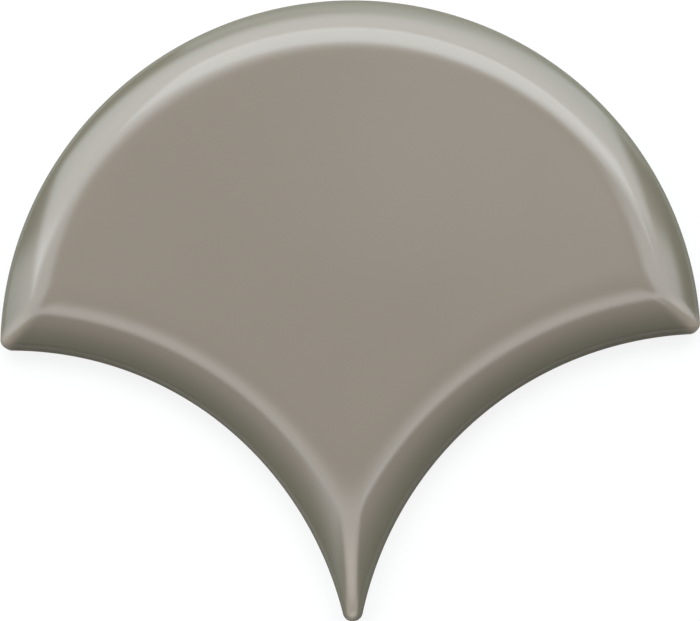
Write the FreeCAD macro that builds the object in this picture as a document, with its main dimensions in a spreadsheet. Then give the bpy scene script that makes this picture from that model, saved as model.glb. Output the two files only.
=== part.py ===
# A fish scale tile: one fired ceramic piece with a round head, two hollow flanks that take the heads
# of its neighbours, and a short rounded tip. A flat raised field is framed by a sloping bevel.
# Millimetres. The origin is the centre of the head's arc, on the flat back. +Z is the glazed face,
# +Y points to the top of the head and -Y to the tip.
import FreeCAD, Part
import math
import os

import Sketcher

NODE = "fish_scale_tile"

# Driving dimensions. A flank has the radius of the head, because a neighbour's head nests in it.
# The bevel is measured to the corners that its two roundings take off.
SIZES = {
    "head_radius": 60.0,
    "shoulder_radius": 1.6,
    "tip_radius": 1.65,
    "thickness": 7.5,
    "bevel_rise": 3.5,
    "bevel_width": 7.4,
    "edge_round": 2.5,
    "crease_round": 9.0,
}

# A sketch's own origin
SKETCH_ORIGIN = (-1, 1)


def add_sizes(document):
    """Puts the driving dimensions in a sheet, one alias to a row."""
    sheet = document.addObject("Spreadsheet::Sheet", "sizes")
    for row, (alias, value) in enumerate(SIZES.items(), start=1):
        sheet.set(f"A{row}", alias)
        sheet.set(f"B{row}", str(value))
        sheet.setAlias(f"B{row}", alias)
    document.recompute()
    return sheet


def origin_feature(body, role):
    """The body's own origin plane or axis with this role."""
    return next(feature for feature in body.Origin.OriginFeatures if feature.Role == role)


def add_sketch(body, name, plane_role):
    """An empty sketch on one of the body's origin planes."""
    sketch = body.newObject("Sketcher::SketchObject", name)
    sketch.AttachmentSupport = [(origin_feature(body, plane_role), "")]
    sketch.MapMode = "FlatFace"
    return sketch


def start(curve):
    """The first end of a sketch element, as constraints take it."""
    return (curve, 1)


def end(curve):
    """The last end of a sketch element."""
    return (curve, 2)


def centre(curve):
    """The centre of an arc in a sketch."""
    return (curve, 3)


def vertical_axis():
    """A sketch's own vertical axis."""
    return (-2,)


def fix(sketch, kind, *places, value=()):
    """Adds a constraint between elements, or points of elements, and gives its number."""
    pairs = [place if isinstance(place, tuple) else (place,) for place in places]
    return sketch.addConstraint(Sketcher.Constraint(kind, *sum(pairs, ()), *value))


def bind(sketch, name, size, kind, *places):
    """Adds a dimension to the sketch and ties it to a size in the sheet."""
    value = float(getattr(sketch.Document.getObject("sizes"), size))
    index = fix(sketch, kind, *places, value=(value,))
    sketch.renameConstraint(index, name)
    sketch.setExpression(f"Constraints.{name}", f"sizes.{size}")


def arc(middle, radius, first, last):
    """An arc that runs anticlockwise from the direction of one point to that of another."""
    turns = [math.atan2(point.y - middle.y, point.x - middle.x) for point in (first, last)]
    circle = Part.Circle(middle, FreeCAD.Vector(0, 0, 1), radius)
    return Part.ArcOfCircle(circle, *turns)


def toward(middle, target, distance):
    """The point at a distance from a centre, in the direction of a target."""
    return middle + (target - middle).normalize() * distance


def mirrored(point):
    """The same point on the other side of the tile."""
    return FreeCAD.Vector(-point.x, point.y, point.z)


def shoulder_centre(sheet):
    """Centre of the right shoulder's rounding, tangent inside the head and outside the flank."""
    inner = sheet.head_radius - sheet.shoulder_radius
    drop = sheet.head_radius - 2 * sheet.shoulder_radius
    x = (drop + math.sqrt(2 * inner**2 - drop**2)) / 2
    return FreeCAD.Vector(x, x - drop, 0)


def tip_centre(sheet):
    """Centre of the tip's rounding, tangent to both flanks."""
    reach = sheet.head_radius + sheet.tip_radius
    rise = math.sqrt(reach**2 - sheet.head_radius**2)
    return FreeCAD.Vector(0, rise - sheet.head_radius, 0)


def outline_arcs(sheet):
    """Head, shoulders, flanks and tip as tangent arcs, by name."""
    head = FreeCAD.Vector(0, 0, 0)
    flank = FreeCAD.Vector(sheet.head_radius, -sheet.head_radius, 0)
    shoulder = shoulder_centre(sheet)
    tip = tip_centre(sheet)
    head_end = toward(head, shoulder, sheet.head_radius)
    flank_top = toward(flank, shoulder, sheet.head_radius)
    flank_foot = toward(flank, tip, sheet.head_radius)
    left_head_end, left_flank_top, left_flank_foot = map(mirrored, (head_end, flank_top, flank_foot))
    return {
        "head": arc(head, sheet.head_radius, head_end, left_head_end),
        "left_shoulder": arc(mirrored(shoulder), sheet.shoulder_radius, left_head_end, left_flank_top),
        "left_flank": arc(mirrored(flank), sheet.head_radius, left_flank_foot, left_flank_top),
        "tip": arc(tip, sheet.tip_radius, left_flank_foot, flank_foot),
        "right_flank": arc(flank, sheet.head_radius, flank_top, flank_foot),
        "right_shoulder": arc(shoulder, sheet.shoulder_radius, flank_top, head_end),
    }


def add_outline(body, sheet):
    """The plan of the tile, drawn on the back. Each arc runs smoothly into the next."""
    sketch = add_sketch(body, "outline", "XY_Plane")
    part = {name: sketch.addGeometry(curve) for name, curve in outline_arcs(sheet).items()}
    fix(sketch, "Tangent", end(part["head"]), start(part["left_shoulder"]))
    fix(sketch, "Tangent", end(part["left_shoulder"]), end(part["left_flank"]))
    fix(sketch, "Tangent", start(part["left_flank"]), start(part["tip"]))
    fix(sketch, "Tangent", end(part["tip"]), end(part["right_flank"]))
    fix(sketch, "Tangent", start(part["right_flank"]), start(part["right_shoulder"]))
    fix(sketch, "Tangent", end(part["right_shoulder"]), start(part["head"]))
    left, right = centre(part["left_flank"]), centre(part["right_flank"])
    fix(sketch, "Coincident", centre(part["head"]), SKETCH_ORIGIN)
    fix(sketch, "Symmetric", left, right, vertical_axis())
    fix(sketch, "Equal", part["head"], part["right_flank"])
    fix(sketch, "Equal", part["head"], part["left_flank"])
    fix(sketch, "Equal", part["right_shoulder"], part["left_shoulder"])
    bind(sketch, "flank_across", "head_radius", "DistanceX", SKETCH_ORIGIN, right)
    bind(sketch, "flank_down", "head_radius", "DistanceY", right, SKETCH_ORIGIN)
    bind(sketch, "head_radius", "head_radius", "Radius", part["head"])
    bind(sketch, "shoulder_radius", "shoulder_radius", "Radius", part["right_shoulder"])
    bind(sketch, "tip_radius", "tip_radius", "Radius", part["tip"])
    return sketch


def section_lines(sheet):
    """What the bevel takes off, seen in section, by name. x runs inward from the wall, y up from the back.

    The wall turns over the edge round into the slope, and the slope over the crease round into the field.
    """
    slope_angle = math.atan2(sheet.bevel_rise, sheet.bevel_width)
    along = FreeCAD.Vector(math.cos(slope_angle), math.sin(slope_angle), 0)
    edge_corner = FreeCAD.Vector(0, sheet.thickness - sheet.bevel_rise, 0)
    crease_corner = FreeCAD.Vector(sheet.bevel_width, sheet.thickness, 0)
    edge_reach = sheet.edge_round * math.tan((math.pi / 2 - slope_angle) / 2)
    crease_reach = sheet.crease_round * math.tan(slope_angle / 2)
    wall_top = edge_corner - FreeCAD.Vector(0, edge_reach, 0)
    slope_foot = edge_corner + along * edge_reach
    slope_head = crease_corner - along * crease_reach
    field_edge = crease_corner + FreeCAD.Vector(crease_reach, 0, 0)
    edge_centre = wall_top + FreeCAD.Vector(sheet.edge_round, 0, 0)
    crease_centre = field_edge - FreeCAD.Vector(0, sheet.crease_round, 0)
    outer_foot = FreeCAD.Vector(-sheet.bevel_width, wall_top.y, 0)
    outer_top = FreeCAD.Vector(-sheet.bevel_width, sheet.thickness + sheet.bevel_width, 0)
    inner_top = FreeCAD.Vector(field_edge.x, outer_top.y, 0)
    return {
        "bevel": Part.LineSegment(edge_corner, crease_corner),
        "crease": arc(crease_centre, sheet.crease_round, field_edge, slope_head),
        "slope": Part.LineSegment(slope_head, slope_foot),
        "edge": arc(edge_centre, sheet.edge_round, slope_foot, wall_top),
        "foot": Part.LineSegment(wall_top, outer_foot),
        "outer": Part.LineSegment(outer_foot, outer_top),
        "top": Part.LineSegment(outer_top, inner_top),
        "inner": Part.LineSegment(inner_top, field_edge),
    }


def add_turning_axis(sketch, sheet, side):
    """A construction line parallel to the wall, one head radius away on the side given by its sign."""
    foot = FreeCAD.Vector(side * sheet.head_radius, 0, 0)
    head = FreeCAD.Vector(foot.x, sheet.thickness, 0)
    axis = sketch.addGeometry(Part.LineSegment(foot, head), True)
    places = [SKETCH_ORIGIN, start(axis)][::side]
    fix(sketch, "Vertical", axis)
    fix(sketch, "Horizontal", start(axis), SKETCH_ORIGIN)
    bind(sketch, "turning_radius", "head_radius", "DistanceX", *places)
    bind(sketch, "axis_length", "thickness", "DistanceY", start(axis), end(axis))


def add_section(body, sheet, name, side):
    """The bevel's section on a plane across the wall, with its turning axis drawn first."""
    sketch = add_sketch(body, name, "XZ_Plane")
    add_turning_axis(sketch, sheet, side)
    line = {}
    for part, curve in section_lines(sheet).items():
        line[part] = sketch.addGeometry(curve, part == "bevel")
    fix(sketch, "Tangent", end(line["crease"]), start(line["slope"]))
    fix(sketch, "Tangent", end(line["slope"]), start(line["edge"]))
    corners = ["edge", "foot", "outer", "top", "inner", "crease"]
    for before, after in zip(corners, corners[1:]):
        fix(sketch, "Coincident", end(line[before]), start(line[after]))
    edge_corner, crease_corner = start(line["bevel"]), end(line["bevel"])
    wall_top, field_edge, outer_top = end(line["edge"]), start(line["crease"]), end(line["outer"])
    fix(sketch, "PointOnObject", edge_corner, vertical_axis())
    fix(sketch, "PointOnObject", start(line["slope"]), line["bevel"])
    fix(sketch, "PointOnObject", end(line["slope"]), line["bevel"])
    fix(sketch, "PointOnObject", wall_top, vertical_axis())
    fix(sketch, "Horizontal", centre(line["edge"]), wall_top)
    fix(sketch, "Vertical", centre(line["crease"]), field_edge)
    fix(sketch, "Horizontal", field_edge, crease_corner)
    fix(sketch, "Horizontal", line["foot"])
    fix(sketch, "Vertical", line["outer"])
    fix(sketch, "Horizontal", line["top"])
    fix(sketch, "Vertical", line["inner"])
    bind(sketch, "thickness", "thickness", "DistanceY", SKETCH_ORIGIN, crease_corner)
    bind(sketch, "bevel_width", "bevel_width", "DistanceX", edge_corner, crease_corner)
    bind(sketch, "bevel_rise", "bevel_rise", "DistanceY", edge_corner, crease_corner)
    bind(sketch, "edge_round", "edge_round", "Radius", line["edge"])
    bind(sketch, "crease_round", "crease_round", "Radius", line["crease"])
    bind(sketch, "spare_outside", "bevel_width", "DistanceX", outer_top, edge_corner)
    bind(sketch, "spare_above", "bevel_width", "DistanceY", crease_corner, outer_top)
    return sketch


def cut_bevel(body, section, name):
    """Turns a section about its axis and takes it off the tile."""
    groove = body.newObject("PartDesign::Groove", name)
    groove.Profile = section
    groove.ReferenceAxis = (section, ["Axis0"])
    groove.Angle = 360.0
    return groove


def build_tile(document, sheet):
    """Blank of the outline, bevelled round the head and along both flanks."""
    body = document.addObject("PartDesign::Body", NODE)
    body.Label = NODE

    blank = body.newObject("PartDesign::Pad", "blank")
    blank.Profile = add_outline(body, sheet)
    blank.setExpression("Length", "sizes.thickness")
    document.recompute()

    head_section = add_section(body, sheet, "head_section", 1)
    head_section.setExpression("AttachmentOffset.Base.x", "-sizes.head_radius")
    cut_bevel(body, head_section, "head_bevel")
    document.recompute()

    flank_section = add_section(body, sheet, "flank_section", -1)
    flank_section.setExpression("AttachmentOffset.Base.z", "sizes.head_radius")
    flank_bevel = cut_bevel(body, flank_section, "left_flank_bevel")
    document.recompute()

    both_flanks = body.newObject("PartDesign::Mirrored", "both_flank_bevels")
    both_flanks.Originals = [flank_bevel]
    both_flanks.MirrorPlane = (origin_feature(body, "YZ_Plane"), [""])
    body.Tip = both_flanks
    document.recompute()
    return body


def check(document, body):
    """Stops unless every feature is sound, every sketch is fixed and every cut took something off."""
    for item in document.Objects:
        if "Invalid" in item.State or "Error" in item.State:
            raise RuntimeError(f"{item.Name} failed: {item.State}")
    for sketch in document.findObjects("Sketcher::SketchObject"):
        if sketch.solve() != 0 or not sketch.FullyConstrained:
            raise RuntimeError(f"{sketch.Name} is not fully constrained")
    steps = ["blank", "head_bevel", "left_flank_bevel", "both_flank_bevels"]
    volumes = [document.getObject(step).Shape.Volume for step in steps]
    for step, before, after in zip(steps[1:], volumes, volumes[1:]):
        if after >= before:
            raise RuntimeError(f"{step} took nothing off")
    shape = body.Shape
    if shape.isNull() or not shape.isValid() or len(shape.Solids) != 1:
        raise RuntimeError(f"{body.Label} is not one valid solid")


def main():
    document = FreeCAD.newDocument("fish_scale_tile_model")
    sheet = add_sizes(document)
    body = build_tile(document, sheet)
    check(document, body)
    os.makedirs("parts", exist_ok=True)
    body.Shape.exportStep(f"parts/{body.Label}.step")
    box = body.Shape.optimalBoundingBox(False)
    print(f"{body.Label}: {box.XLength:.2f} x {box.YLength:.2f} x {box.ZLength:.2f} mm")
    print(f"volume {body.Shape.Volume:.1f} cubic mm, {len(body.Shape.Faces)} faces")


main()
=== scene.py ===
# %% [markdown]
# # A glazed fish scale tile
# This notebook dresses one fired ceramic tile. The real one is pressed from clay, dipped in a taupe glaze
# on its face and fired, so everything that shows is one piece with a glassy skin. The packed model is the
# fixed frame: it gives the tile's place and size, and the looks are built around it.

# %% Load the frame
import math

import bpy
from mathutils import Euler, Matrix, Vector


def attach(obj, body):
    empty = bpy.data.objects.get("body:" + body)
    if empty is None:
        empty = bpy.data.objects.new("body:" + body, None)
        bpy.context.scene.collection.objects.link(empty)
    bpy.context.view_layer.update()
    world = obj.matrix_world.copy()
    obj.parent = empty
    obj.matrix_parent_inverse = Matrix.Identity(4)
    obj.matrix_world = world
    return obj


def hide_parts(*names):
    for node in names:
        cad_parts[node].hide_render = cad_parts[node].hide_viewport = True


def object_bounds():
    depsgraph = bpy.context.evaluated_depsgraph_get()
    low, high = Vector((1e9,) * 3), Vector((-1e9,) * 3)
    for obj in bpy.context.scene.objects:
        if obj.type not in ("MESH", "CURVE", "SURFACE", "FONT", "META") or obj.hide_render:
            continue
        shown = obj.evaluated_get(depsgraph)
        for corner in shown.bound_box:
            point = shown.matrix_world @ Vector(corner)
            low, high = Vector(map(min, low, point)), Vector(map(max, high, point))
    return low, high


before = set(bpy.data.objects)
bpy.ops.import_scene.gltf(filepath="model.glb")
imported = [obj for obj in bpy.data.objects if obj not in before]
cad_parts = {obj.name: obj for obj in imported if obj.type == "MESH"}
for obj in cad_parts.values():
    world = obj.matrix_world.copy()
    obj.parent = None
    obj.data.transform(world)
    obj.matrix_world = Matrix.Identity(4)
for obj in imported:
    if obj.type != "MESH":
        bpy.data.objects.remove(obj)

MM = 0.001
cad_low, cad_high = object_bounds()
print("nodes:", sorted(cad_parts), "size in mm:", [round(side / MM, 2) for side in cad_high - cad_low])

# %% [markdown]
# ## The plan
# Seen from above, the tile is drawn with compasses set to one radius. The head is an arc about the origin,
# and each flank is the head of a neighbour, one radius across and one radius down. Shoulders and tip are
# small arcs that run smoothly into both. A bezier curve could be traced over the outline, but arcs can be
# moved inward exactly: the head's radius shrinks and the flanks' grow, so one function draws every ring of
# the surface, from the wall to the middle of the field.

# %% Plan sizes
HEAD_RADIUS = round(cad_high.y, 4)
SHOULDER_ROUND = 1.6 * MM
TIP_ROUND = 1.65 * MM
print("head, shoulder and tip radius in mm:", HEAD_RADIUS / MM, SHOULDER_ROUND / MM, TIP_ROUND / MM)

# %% Points along an arc
CROWDING = 0.11


def angle_of(centre, point):
    """Direction from a centre to a point, in radians."""
    return math.atan2(point[1] - centre[1], point[0] - centre[0])


def crowded(share):
    """A share of the way along an arc, moved so that points crowd together towards both ends."""
    return share - CROWDING * math.sin(2 * math.pi * share)


def arc_points(centre, radius, start, sweep, steps):
    """Points along an arc, without its last one, so that arcs can follow each other."""
    turns = [start + sweep * crowded(step / steps) for step in range(steps)]
    return [(centre[0] + radius * math.cos(turn), centre[1] + radius * math.sin(turn)) for turn in turns]


print("a quarter of the way along moves to:", round(crowded(1 / 4), 3))

# %% One ring
# Steps along each arc on one side of the tile, from the tip to the top of the head.
HALF_TIP_STEPS = 14
FLANK_STEPS = 110
SHOULDER_STEPS = 12
HALF_HEAD_STEPS = 120


def mirrored(points):
    """The same stretch on the other side of the tile, walked in the opposite direction."""
    return [(-x, y) for x, y in reversed(points)]


def plan_ring(inset, shoulder_round, tip_round):
    """The outline moved inward, anticlockwise from the lowest point of the tip."""
    flank = (HEAD_RADIUS, -HEAD_RADIUS)
    to_head = HEAD_RADIUS - inset - shoulder_round
    fall = HEAD_RADIUS - 2 * (inset + shoulder_round)
    shoulder_x = (fall + math.sqrt(2 * to_head**2 - fall**2)) / 2
    shoulder = (shoulder_x, shoulder_x - fall)
    tip_rise = math.sqrt((HEAD_RADIUS + inset + tip_round) ** 2 - HEAD_RADIUS**2)
    tip = (0.0, tip_rise - HEAD_RADIUS)

    half_tip = angle_of(tip, flank) + math.pi / 2
    flank_foot = angle_of(flank, tip)
    flank_sweep = angle_of(flank, shoulder) - flank_foot
    shoulder_foot = angle_of(shoulder, flank)
    shoulder_top = angle_of((0, 0), shoulder)
    shoulder_sweep = shoulder_top - shoulder_foot
    half_head = math.pi / 2 - shoulder_top

    right = arc_points(tip, tip_round, -math.pi / 2, half_tip, HALF_TIP_STEPS)
    right += arc_points(flank, HEAD_RADIUS + inset, flank_foot, flank_sweep, FLANK_STEPS)
    right += arc_points(shoulder, shoulder_round, shoulder_foot, shoulder_sweep, SHOULDER_STEPS)
    right += arc_points((0, 0), HEAD_RADIUS - inset, shoulder_top, half_head, HALF_HEAD_STEPS)
    top = (0.0, HEAD_RADIUS - inset)
    return right + [top] + mirrored(right[1:])


print("points on a ring:", len(plan_ring(0.0, SHOULDER_ROUND, TIP_ROUND)))

# %% [markdown]
# ## The section
# Cut across its edge, the tile has a plain wall, a rounded edge, a slightly swollen slope and a crease. Past
# the crease the glaze has pooled, so the surface eases into the flat field over several millimetres. A bevel
# modifier would round all of these by one amount. Here each has its own size, because each catches the light
# in its own way, so the section is worked out as arcs and one cubic, and every ring gets one point of it.

# %% Section sizes
THICKNESS = cad_high.z
FOOT_ROUND = 0.35 * MM
EDGE_ROUND = 2.4 * MM
CREASE_INSET = 5.5 * MM
CREASE_ROUND = 8.0 * MM
EASE_WIDTH = 6.0 * MM

# Lean of the surface where the slope starts, where it meets the crease and where the easing starts.
SLOPE_FOOT_ANGLE = math.radians(33.0)
SLOPE_HEAD_ANGLE = math.radians(20.0)
EASE_ANGLE = math.radians(12.5)
print("thickness, crease and easing in mm:", round(THICKNESS / MM, 2), CREASE_INSET / MM, EASE_WIDTH / MM)


# %% Rounded stretches
def rounding(centre, radius, start, end, steps):
    """Points over a rounded stretch of the section, as (inset, height), with both ends."""
    turns = [start + (end - start) * step / steps for step in range(steps + 1)]
    return [(centre[0] + radius * math.cos(turn), centre[1] + radius * math.sin(turn)) for turn in turns]


def rounding_down(top, radius, gentle, steep, steps):
    """A rounded stretch that ends at a top point, and leans from one angle at its foot to another there."""
    upright = math.pi / 2
    centre = (top[0] + radius * math.sin(gentle), top[1] - radius * math.cos(gentle))
    return rounding(centre, radius, upright + steep, upright + gentle, steps)


def easing(steps):
    """From the crease to the flat field, with a slope that dies away as a square, by (inset, height)."""
    crease_run = CREASE_ROUND * (math.sin(SLOPE_HEAD_ANGLE) - math.sin(EASE_ANGLE))
    rise = math.tan(EASE_ANGLE) * EASE_WIDTH / 3
    shares = [step / steps for step in range(steps + 1)]
    start = CREASE_INSET + crease_run
    return [(start + EASE_WIDTH * share, THICKNESS - rise * (1 - share) ** 3) for share in shares]


print("the easing starts at inset and height in mm:", [round(size / MM, 2) for size in easing(1)[0]])

# %% The whole section
FOOT_STEPS = 4
WALL_STEPS = 6
EDGE_STEPS = 16
SLOPE_STEPS = 18
CREASE_STEPS = 4
EASE_STEPS = 26


def tile_section():
    """The section from the back's rim, up the wall and over the bevel to the field, and the wall's top."""
    ease = easing(EASE_STEPS)
    crease = rounding_down(ease[0], CREASE_ROUND, EASE_ANGLE, SLOPE_HEAD_ANGLE, CREASE_STEPS)
    slope_foot = EDGE_ROUND * (1 - math.sin(SLOPE_FOOT_ANGLE))
    slope_round = (CREASE_INSET - slope_foot) / (math.sin(SLOPE_FOOT_ANGLE) - math.sin(SLOPE_HEAD_ANGLE))
    slope = rounding_down(crease[0], slope_round, SLOPE_HEAD_ANGLE, SLOPE_FOOT_ANGLE, SLOPE_STEPS)
    edge = rounding_down(slope[0], EDGE_ROUND, SLOPE_FOOT_ANGLE, math.pi / 2, EDGE_STEPS)

    top = edge[0][1]
    foot = rounding((FOOT_ROUND, FOOT_ROUND), FOOT_ROUND, 1.5 * math.pi, math.pi, FOOT_STEPS)
    wall = [(0.0, FOOT_ROUND + (top - FOOT_ROUND) * step / WALL_STEPS) for step in range(1, WALL_STEPS)]
    return foot + wall + edge + slope[1:] + crease[1:] + ease[1:], top


section, wall_top = tile_section()
back_inset = section[0][0]
field_inset = section[-1][0]
print("points on the section:", len(section))
print("wall's top and field's rim in mm:", round(wall_top / MM, 2), round(field_inset / MM, 2))

# %% [markdown]
# ## The mesh
# Rings of the plan, stacked along the section, are skinned with quads. On the real tile the glaze flows in
# the kiln and softens the three ridges where two bevels meet. A subdivision surface would soften every line
# of the tile alike, and the crisp outline would be lost. So the rings keep their tight corners, and the
# surface is lowered a little wherever two edges are almost equally far away.

# %% Ridge softness
SHOULDER_SOFTNESS = 2.4 * MM
TIP_SOFTNESS = 4.4 * MM
SOFT_FROM = 1.5 * MM


def edge_distances(x, y):
    """How far a place in the plan is from the head's arc, the nearer flank and the other flank."""
    to_head = HEAD_RADIUS - math.hypot(x, y)
    to_flanks = [math.hypot(x - side, y + HEAD_RADIUS) - HEAD_RADIUS for side in (-HEAD_RADIUS, HEAD_RADIUS)]
    return to_head, min(to_flanks), max(to_flanks)


def softened(inset, x, y):
    """The inset, less what a soft ridge takes off it where two edges are almost equally far."""
    to_head, to_flank, to_other = edge_distances(x, y)
    at_tip = to_head > to_other
    softness = TIP_SOFTNESS if at_tip else SHOULDER_SOFTNESS
    gap = abs(to_flank - (to_other if at_tip else to_head))
    overlap = max(softness - gap, 0.0)
    soft = min(to_head, to_flank) - overlap**2 / (4 * softness)
    share = min(inset / SOFT_FROM, 1.0)
    return inset + (soft - inset) * share * share * (3 - 2 * share)


print("taken off the inset on a ridge, in mm:", TIP_SOFTNESS / 4 / MM, SHOULDER_SOFTNESS / 4 / MM)

# %% Rings in space
SHARPEST_ROUND = 0.15 * MM


def bevel_height(inset):
    """Height of the section above an inset, on the bevel or the field."""
    for (near, low), (far, high) in zip(section, section[1:]):
        if near < inset <= far:
            return low + (high - low) * (inset - near) / (far - near)
    return THICKNESS


def ring_at(inset, height):
    """One ring of vertex places. On the bevel, soft ridges lower it."""
    shoulder_round = max(SHOULDER_ROUND - inset, SHARPEST_ROUND)
    tip_round = max(TIP_ROUND - inset, SHARPEST_ROUND)
    ring = plan_ring(inset, shoulder_round, tip_round)
    if height <= wall_top:
        return [(x, y, height) for x, y in ring]
    return [(x, y, bevel_height(softened(inset, x, y))) for x, y in ring]


rim = ring_at(field_inset, THICKNESS)
print("the field's rim is lowest at, in mm:", round(min(height for _, _, height in rim) / MM, 2))

# %% Rows and faces
# The middle is the place that is farthest from all three edges. The last ring stops just short of it.
MIDDLE_INSET = 2 * HEAD_RADIUS / 3
LAST_INSET = 0.97 * MIDDLE_INSET
FIELD_RINGS = 14
BACK_RINGS = 6


def inset_steps(first, count):
    """Insets from a rim towards the middle of the tile, without the rim."""
    return [first + (LAST_INSET - first) * step / count for step in range(1, count + 1)]


def tile_rows():
    """Inset and height of every ring, from the middle of the back round to the middle of the field."""
    back = [(inset, 0.0) for inset in reversed(inset_steps(back_inset, BACK_RINGS))]
    field = [(inset, THICKNESS) for inset in inset_steps(field_inset, FIELD_RINGS)]
    return back + section + field


def skin_faces(row_count, width):
    """Quads from each ring to the next, and one face over each end."""
    faces = []
    for row in range(row_count - 1):
        low = row * width
        high = low + width
        for step in range(width):
            after = (step + 1) % width
            faces.append((low + step, low + after, high + after, high + step))
    last = (row_count - 1) * width
    return faces + [tuple(reversed(range(width))), tuple(range(last, last + width))]


print("rings:", len(tile_rows()))


# %% Tile mesh
def ridge_gap(x, y):
    """How much farther the second nearest edge is than the nearest one: nothing along a ridge."""
    nearest, second, _ = sorted(edge_distances(x, y))
    return second - nearest


def add_measure(mesh, name, values):
    """Keeps one number for each vertex, for the finish to read."""
    mesh.attributes.new(name, "FLOAT", "POINT").data.foreach_set("value", values)


def build_tile():
    """The tile's closed skin as one mesh object."""
    rows = tile_rows()
    rings = [ring_at(inset, height) for inset, height in rows]
    places = [place for ring in rings for place in ring]
    width = len(rings[0])

    mesh = bpy.data.meshes.new("glazed_tile")
    mesh.from_pydata(places, [], skin_faces(len(rows), width))
    mesh.polygons.foreach_set("use_smooth", [True] * len(mesh.polygons))
    add_measure(mesh, "inset", [inset for inset, _ in rows for _ in range(width)])
    add_measure(mesh, "ridge_gap", [ridge_gap(x, y) for x, y, _ in places])
    mesh.validate()
    mesh.update()
    tile = bpy.data.objects.new("glazed_tile", mesh)
    bpy.context.scene.collection.objects.link(tile)
    return tile


tile = build_tile()
print("faces:", len(tile.data.polygons), "vertices:", len(tile.data.vertices))

# %% [markdown]
# ## Sums on a surface
# A finish is a set of numbers that change from place to place. Blender writes them as boxes joined by
# wires, which are hard to read once there are many. Here a small class stands for one wire, so that a sum
# on wires is written as a sum, and each box is still there to look at in the shader editor.


# %% A wire that can be reckoned with
class Wire:
    """One output in the nodes of a material or a lamp. Arithmetic on it adds Math nodes."""

    def __init__(self, tree, output=None):
        self.tree = tree
        self.output = output

    def node(self, kind, settings=None, sockets=None, output=0):
        """Adds a node: its settings are set first, then its sockets get values or wires."""
        made = self.tree.nodes.new(kind)
        for name, value in (settings or {}).items():
            setattr(made, name, value)
        for name, value in (sockets or {}).items():
            if isinstance(value, Wire):
                self.tree.links.new(value.output, made.inputs[name])
            else:
                made.inputs[name].default_value = value
        return Wire(self.tree, made.outputs[output] if made.outputs else None)

    def math(self, operation, *values):
        """A Math node on these values."""
        return self.node("ShaderNodeMath", {"operation": operation}, dict(enumerate(values)))

    def __add__(self, other):
        return self.math("ADD", self, other)

    def __sub__(self, other):
        return self.math("SUBTRACT", self, other)

    def __rsub__(self, other):
        return self.math("SUBTRACT", other, self)

    def __abs__(self):
        return self.math("ABSOLUTE", self)

    def __mul__(self, other):
        return self.math("MULTIPLY", self, other)

    __radd__ = __add__
    __rmul__ = __mul__

    def ramp(self, low, high):
        """0 below the low value, 1 above the high one, eased between."""
        limits = {"Value": self, "From Min": low, "From Max": high}
        return self.node("ShaderNodeMapRange", {"interpolation_type": "SMOOTHSTEP"}, limits)

    def tint(self, first, second):
        """A colour between two, by this value."""
        colours = {"Factor": self, 6: first, 7: second}
        return self.node("ShaderNodeMix", {"data_type": "RGBA"}, colours, output=2)

    def noise(self, scale, detail):
        """Soft noise over these places, from 0 to 1 and about a half on average."""
        return self.node("ShaderNodeTexNoise", sockets={"Vector": self, "Scale": scale, "Detail": detail})


print("besides sums, a wire has:", [name for name in vars(Wire) if not name.startswith("_")])


# %% Start and end of a material
def new_material(name):
    """An empty material, and the wire to build it from."""
    material = bpy.data.materials.new(name)
    material.use_nodes = True
    tree = material.node_tree
    tree.nodes.clear()
    return material, Wire(tree)


def show(wire, output="ShaderNodeOutputMaterial"):
    """Joins a wire to the output of a material or a lamp."""
    wire.node(output, sockets={"Surface": wire})


print("materials so far:", sorted(material.name for material in bpy.data.materials))

# %% [markdown]
# ## The glaze
# The finish is a glassy taupe coat with a faint ripple. Its colour carries painted shade, darker towards the
# outer edge, and a painted highlight, lighter along the three ridges. It is matt on the rounded edge and the
# wall. It stops just above the foot, and below that line the fired clay is bare: pale, dry and finely
# grained. Several materials on sets of faces would cut hard lines, so one material holds it all, and masks
# from height, distance and noise blend each finish into the next.

# %% Places on the tile
tile_material, tile_wire = new_material("taupe_glaze")
place = tile_wire.node("ShaderNodeTexCoord", output="Object")
height = tile_wire.node("ShaderNodeSeparateXYZ", sockets={"Vector": place}, output="Z")
inset = tile_wire.node("ShaderNodeAttribute", {"attribute_name": "inset"}, output="Fac")
gap = tile_wire.node("ShaderNodeAttribute", {"attribute_name": "ridge_gap"}, output="Fac")
print("nodes in", tile_material.name, "so far:", len(tile_material.node_tree.nodes))

# %% Where the glaze ends
GLAZE_LINE = 0.5 * MM
LINE_SOFTNESS = 0.1 * MM
WANDER_HEIGHT = 0.6 * MM
WANDER_SCALE = 180.0

wander = (place.noise(WANDER_SCALE, detail=2.0) - 0.5) * WANDER_HEIGHT
glazed = (height + wander).ramp(GLAZE_LINE - LINE_SOFTNESS, GLAZE_LINE + LINE_SOFTNESS)
print("the glaze ends above the foot by about, in mm:", GLAZE_LINE / MM)

# %% Colour of the glaze
GLAZE_COLOUR = (0.247, 0.203, 0.166, 1.0)
# Painted shade: a darker glaze colour for the bevel towards the outer edge.
EDGE_SHADE_COLOUR = (0.152, 0.136, 0.100, 1.0)
# Painted highlight: a lighter glaze colour along the three ridges.
RIDGE_HIGHLIGHT_COLOUR = (0.322, 0.266, 0.217, 1.0)

# The painted edge shade fades out between these two insets, and towards a ridge within this gap.
EDGE_FROM = 0.2 * MM
EDGE_REACH = 6.0 * MM
RIDGE_CLEARANCE = 3.5 * MM

# The painted ridge highlight fades out within this gap, and between these two insets.
RIDGE_WIDTH = 2.5 * MM
RIDGE_FADE = 3.5 * MM
RIDGE_END = 7.0 * MM

# The glaze's brightness clouds by a few percent, between the least value and that plus the span.
CLOUD_SCALE = 45.0
CLOUD_LEAST = 0.97
CLOUD_SPAN = 0.06

# Painted shade: the glaze colour darkens towards the outer edge, and less so near the ridges.
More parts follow.
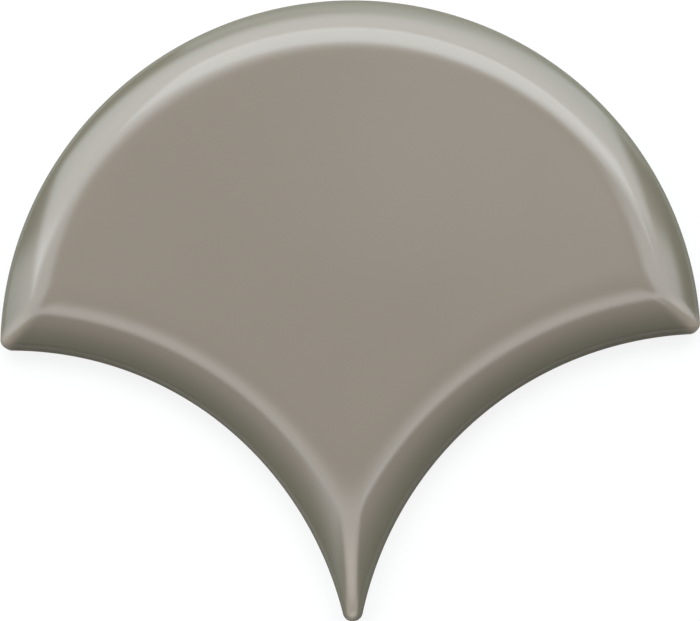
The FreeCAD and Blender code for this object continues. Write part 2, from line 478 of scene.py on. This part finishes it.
painted_edge_shade = (1 - inset.ramp(EDGE_FROM, EDGE_REACH)) * gap.ramp(0.0, RIDGE_CLEARANCE)
# Painted highlight: the glaze colour lightens along the three ridges, near the outer edge.
painted_ridge_highlight = (1 - gap.ramp(0.0, RIDGE_WIDTH)) * (1 - inset.ramp(RIDGE_FADE, RIDGE_END))
glaze = painted_ridge_highlight.tint(painted_edge_shade.tint(GLAZE_COLOUR, EDGE_SHADE_COLOUR), RIDGE_HIGHLIGHT_COLOUR)
cloud = CLOUD_LEAST + place.noise(CLOUD_SCALE, detail=3.0) * CLOUD_SPAN
clouded_glaze = tile_wire.node("ShaderNodeHueSaturation", sockets={"Value": cloud, "Color": glaze})
print("glaze, edge and ridge colour:", GLAZE_COLOUR[:3], EDGE_SHADE_COLOUR[:3], RIDGE_HIGHLIGHT_COLOUR[:3])

# %% Colour of the bare clay
CLAY_COLOUR = (0.62, 0.55, 0.46, 1.0)
GRAIN_SCALE = 2500.0
GRAIN_LEAST = 0.85
GRAIN_SPAN = 0.3

grain = place.noise(GRAIN_SCALE, detail=2.0)
grain_value = GRAIN_LEAST + grain * GRAIN_SPAN
clay = tile_wire.node("ShaderNodeHueSaturation", sockets={"Value": grain_value, "Color": CLAY_COLOUR})
print("clay colour:", CLAY_COLOUR[:3], "grain size in mm:", round(1 / GRAIN_SCALE / MM, 2))

# %% Ripple and grain in relief
RIPPLE_SCALE = 120.0
RIPPLE_RELIEF = 0.02
GRAIN_RELIEF = 0.05
RELIEF_DEPTH = 1.0 * MM
RELIEF_STRENGTH = 0.2

ripple = place.noise(RIPPLE_SCALE, detail=1.0)
relief = glazed * ripple * RIPPLE_RELIEF + (1 - glazed) * grain * GRAIN_RELIEF
relief_sockets = {"Height": relief, "Distance": RELIEF_DEPTH, "Strength": RELIEF_STRENGTH}
bump = tile_wire.node("ShaderNodeBump", sockets=relief_sockets)
print("relief of ripple and grain:", RIPPLE_RELIEF, GRAIN_RELIEF, "of a depth in mm:", RELIEF_DEPTH / MM)

# %% Dry and glassy finish
DRY_BELOW = 3.2 * MM
GLASSY_ABOVE = 5.2 * MM
DRY_FINISH = {"Roughness": 0.85, "Specular IOR Level": 0.1}
GLASSY_FINISH = {"Roughness": 0.12, "IOR": 1.7}

skin = {"Base Color": glazed.tint(clay, clouded_glaze), "Normal": bump}
dry = tile_wire.node("ShaderNodeBsdfPrincipled", sockets=skin | DRY_FINISH)
glassy = tile_wire.node("ShaderNodeBsdfPrincipled", sockets=skin | GLASSY_FINISH)
gloss = height.ramp(DRY_BELOW, GLASSY_ABOVE)
show(tile_wire.node("ShaderNodeMixShader", sockets={"Fac": gloss, 1: dry, 2: glassy}))

tile.data.materials.append(tile_material)
print("material nodes:", len(tile_material.node_tree.nodes))

# %% [markdown]
# ## Joining the frame
# The tile has no moving pieces, so its one body is the root. The packed solid could be shown with a new
# material, but its section is plainer. So the dressed tile stands for it, and the solid stays behind for
# collision.

# %% Ride on the frame
NODE = "fish_scale_tile"
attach(tile, "root")
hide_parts(NODE)
print("replaced:", NODE)

# %% [markdown]
# ## Floor
# The tile lies on its back on a plain white floor. A studio sweep is lit until it burns out to white, but
# that much light would also wash out the glaze. Here the floor adds a white glow of its own for the camera
# and for reflections, and the part of it that is left plain keeps the tile's soft shadow.

# %% Floor
FLOOR_REACH = 4.0
FLOOR_COLOUR = (0.9, 0.9, 0.9, 1.0)
FLOOR_GLOW = 0.8
GLOW_RAYS = ("Is Camera Ray", "Is Glossy Ray", "Is Transmission Ray")


def floor_finish():
    """Pale and plain for the tile's light, and mostly a white glow for the rays that show it."""
    material, start = new_material("pale_floor")
    seen, mirrored_in, shining_through = [start.node("ShaderNodeLightPath", output=ray) for ray in GLOW_RAYS]
    glow = (seen + mirrored_in + shining_through) * FLOOR_GLOW
    plain = start.node("ShaderNodeBsdfDiffuse", sockets={"Color": FLOOR_COLOUR})
    white = start.node("ShaderNodeEmission", sockets={"Strength": 1.0})
    show(start.node("ShaderNodeMixShader", sockets={"Fac": glow, 1: plain, 2: white}))
    return material


def add_floor():
    """A flat floor, level with the tile's back."""
    corners = [(-1, -1), (1, -1), (1, 1), (-1, 1)]
    mesh = bpy.data.meshes.new("floor")
    mesh.from_pydata([(x * FLOOR_REACH, y * FLOOR_REACH, 0.0) for x, y in corners], [], [(0, 1, 2, 3)])
    mesh.materials.append(floor_finish())
    floor = bpy.data.objects.new("floor", mesh)
    bpy.context.scene.collection.objects.link(floor)


add_floor()
print("floor reaches", FLOOR_REACH, "m each way")

# %% [markdown]
# ## Light
# A glossy piece shows its lamps, so they are placed by what it mirrors. A broad softbox hangs behind the
# head, and a narrower one overlaps it and stands in the crease of the head as a crisp lens of light. Panels
# on the left and right light the ends of the head, and a low one behind lights its outer edge. A fill above
# the tip draws the soft lines along the flanks, a small panel lights the tip's ridge, and a weak one
# overhead gives the flat field its gentle gradient. Plain area lamps would show hard edges in the glaze, so
# each cloth fades out towards its own edges, as a real softbox does. The rest of the room is almost dark.

# %% Softbox cloth
LAMP_DISTANCE = 1.0


def span(degrees):
    """Length that an angle covers at the lamps' distance."""
    return LAMP_DISTANCE * math.tan(math.radians(degrees))


def edge_fade(along, reach):
    """From 0 at both ends of a cloth to 1 at a reach from them, by the share of the way along it."""
    return (0.5 - abs(along - 0.5)).ramp(0.0, reach)


def feather_cloth(lamp, width):
    """Lets the light of a softbox die away over a width along its four edges."""
    lamp.use_nodes = True
    lamp.node_tree.nodes.clear()
    start = Wire(lamp.node_tree)
    place = {"Vector": start.node("ShaderNodeNewGeometry", output="Parametric")}
    across, along = [start.node("ShaderNodeSeparateXYZ", sockets=place, output=axis) for axis in "XY"]
    strength = edge_fade(across, width / lamp.size) * edge_fade(along, width / lamp.size_y)
    show(start.node("ShaderNodeEmission", sockets={"Strength": strength}), "ShaderNodeOutputLight")


print("ten degrees at the lamps' distance, in m:", round(span(10.0), 3))

# %% Softboxes
COOL = (0.88, 0.97, 1.0)
WHITE = (1.0, 1.0, 1.0)

# Bearing from the head, angle from straight above, half angles across and along, feather, all in degrees,
# then radiance and colour.
SOFTBOXES = {
    "key_softbox": (-5.0, 48.5, (52.0, 28.0), 12.0, 2.75, COOL),
    "core_softbox": (11.0, 38.0, (33.0, 13.0), 4.0, 1.75, COOL),
    "left_panel": (-88.0, 55.0, (24.5, 33.0), 10.0, 1.75, COOL),
    "right_panel": (84.0, 42.0, (22.0, 26.0), 10.0, 1.9, COOL),
    "back_panel": (13.0, 80.0, (42.0, 10.0), 6.0, 1.45, COOL),
    "fill_panel": (183.0, 16.5, (30.0, 16.0), 14.0, 1.9, WHITE),
    "tip_panel": (180.0, 52.0, (14.0, 14.0), 10.0, 1.4, WHITE),
    "top_panel": (20.0, 15.0, (12.0, 9.0), 8.0, 0.4, COOL),
}


def add_softbox(name, bearing, polar, half_angles, feather, radiance, colour):
    """A softbox that looks at the tile, by its row of values."""
    turn, lean = math.radians(bearing), math.radians(polar)
    toward = Vector((math.sin(turn) * math.sin(lean), math.cos(turn) * math.sin(lean), math.cos(lean)))
    lamp = bpy.data.lights.new(name, "AREA")
    lamp.shape = "RECTANGLE"
    lamp.size, lamp.size_y = [2 * span(half) for half in half_angles]
    lamp.energy = radiance * math.pi * lamp.size * lamp.size_y
    lamp.color = colour
    feather_cloth(lamp, span(feather))
    holder = bpy.data.objects.new(name, lamp)
    holder.location = LAMP_DISTANCE * toward
    holder.rotation_euler = (-toward).to_track_quat("-Z", "Y").to_euler()
    bpy.context.scene.collection.objects.link(holder)


for name, values in SOFTBOXES.items():
    add_softbox(name, *values)

# %% Room and view
WORLD_LEVEL = 0.02


def add_world():
    """An even, dim surround."""
    world = bpy.data.worlds.new("studio")
    world.use_nodes = True
    background = world.node_tree.nodes["Background"]
    background.inputs["Color"].default_value = (1, 1, 1, 1)
    background.inputs["Strength"].default_value = WORLD_LEVEL
    bpy.context.scene.world = world


add_world()
bpy.context.scene.view_settings.view_transform = "Standard"
print("surround:", WORLD_LEVEL, "view:", bpy.context.scene.view_settings.view_transform)

# %% [markdown]
# ## Camera
# The photograph looks almost straight down, a little from the tip's side and from the right. A constraint
# could aim the camera at the tile, but it would choose the roll itself, and the tip would lean. So the
# place and all three turns are written out.

# %% Camera
CAMERA_LENS_MM = 104.07
CAMERA_PLACE = (0.01726, -0.04225, 0.34595)
CAMERA_TURN_DEGREES = (7.874, 2.767, -1.431)


def add_camera():
    """The camera that the tile is photographed with."""
    lens = bpy.data.cameras.new("camera")
    lens.lens = CAMERA_LENS_MM
    camera = bpy.data.objects.new("camera", lens)
    camera.location = CAMERA_PLACE
    camera.rotation_mode = "ZYX"
    camera.rotation_euler = Euler([math.radians(turn) for turn in CAMERA_TURN_DEGREES], "ZYX")
    bpy.context.scene.collection.objects.link(camera)
    bpy.context.scene.camera = camera
    return camera


camera = add_camera()
print("camera at", [round(side, 4) for side in camera.location])

# %% [markdown]
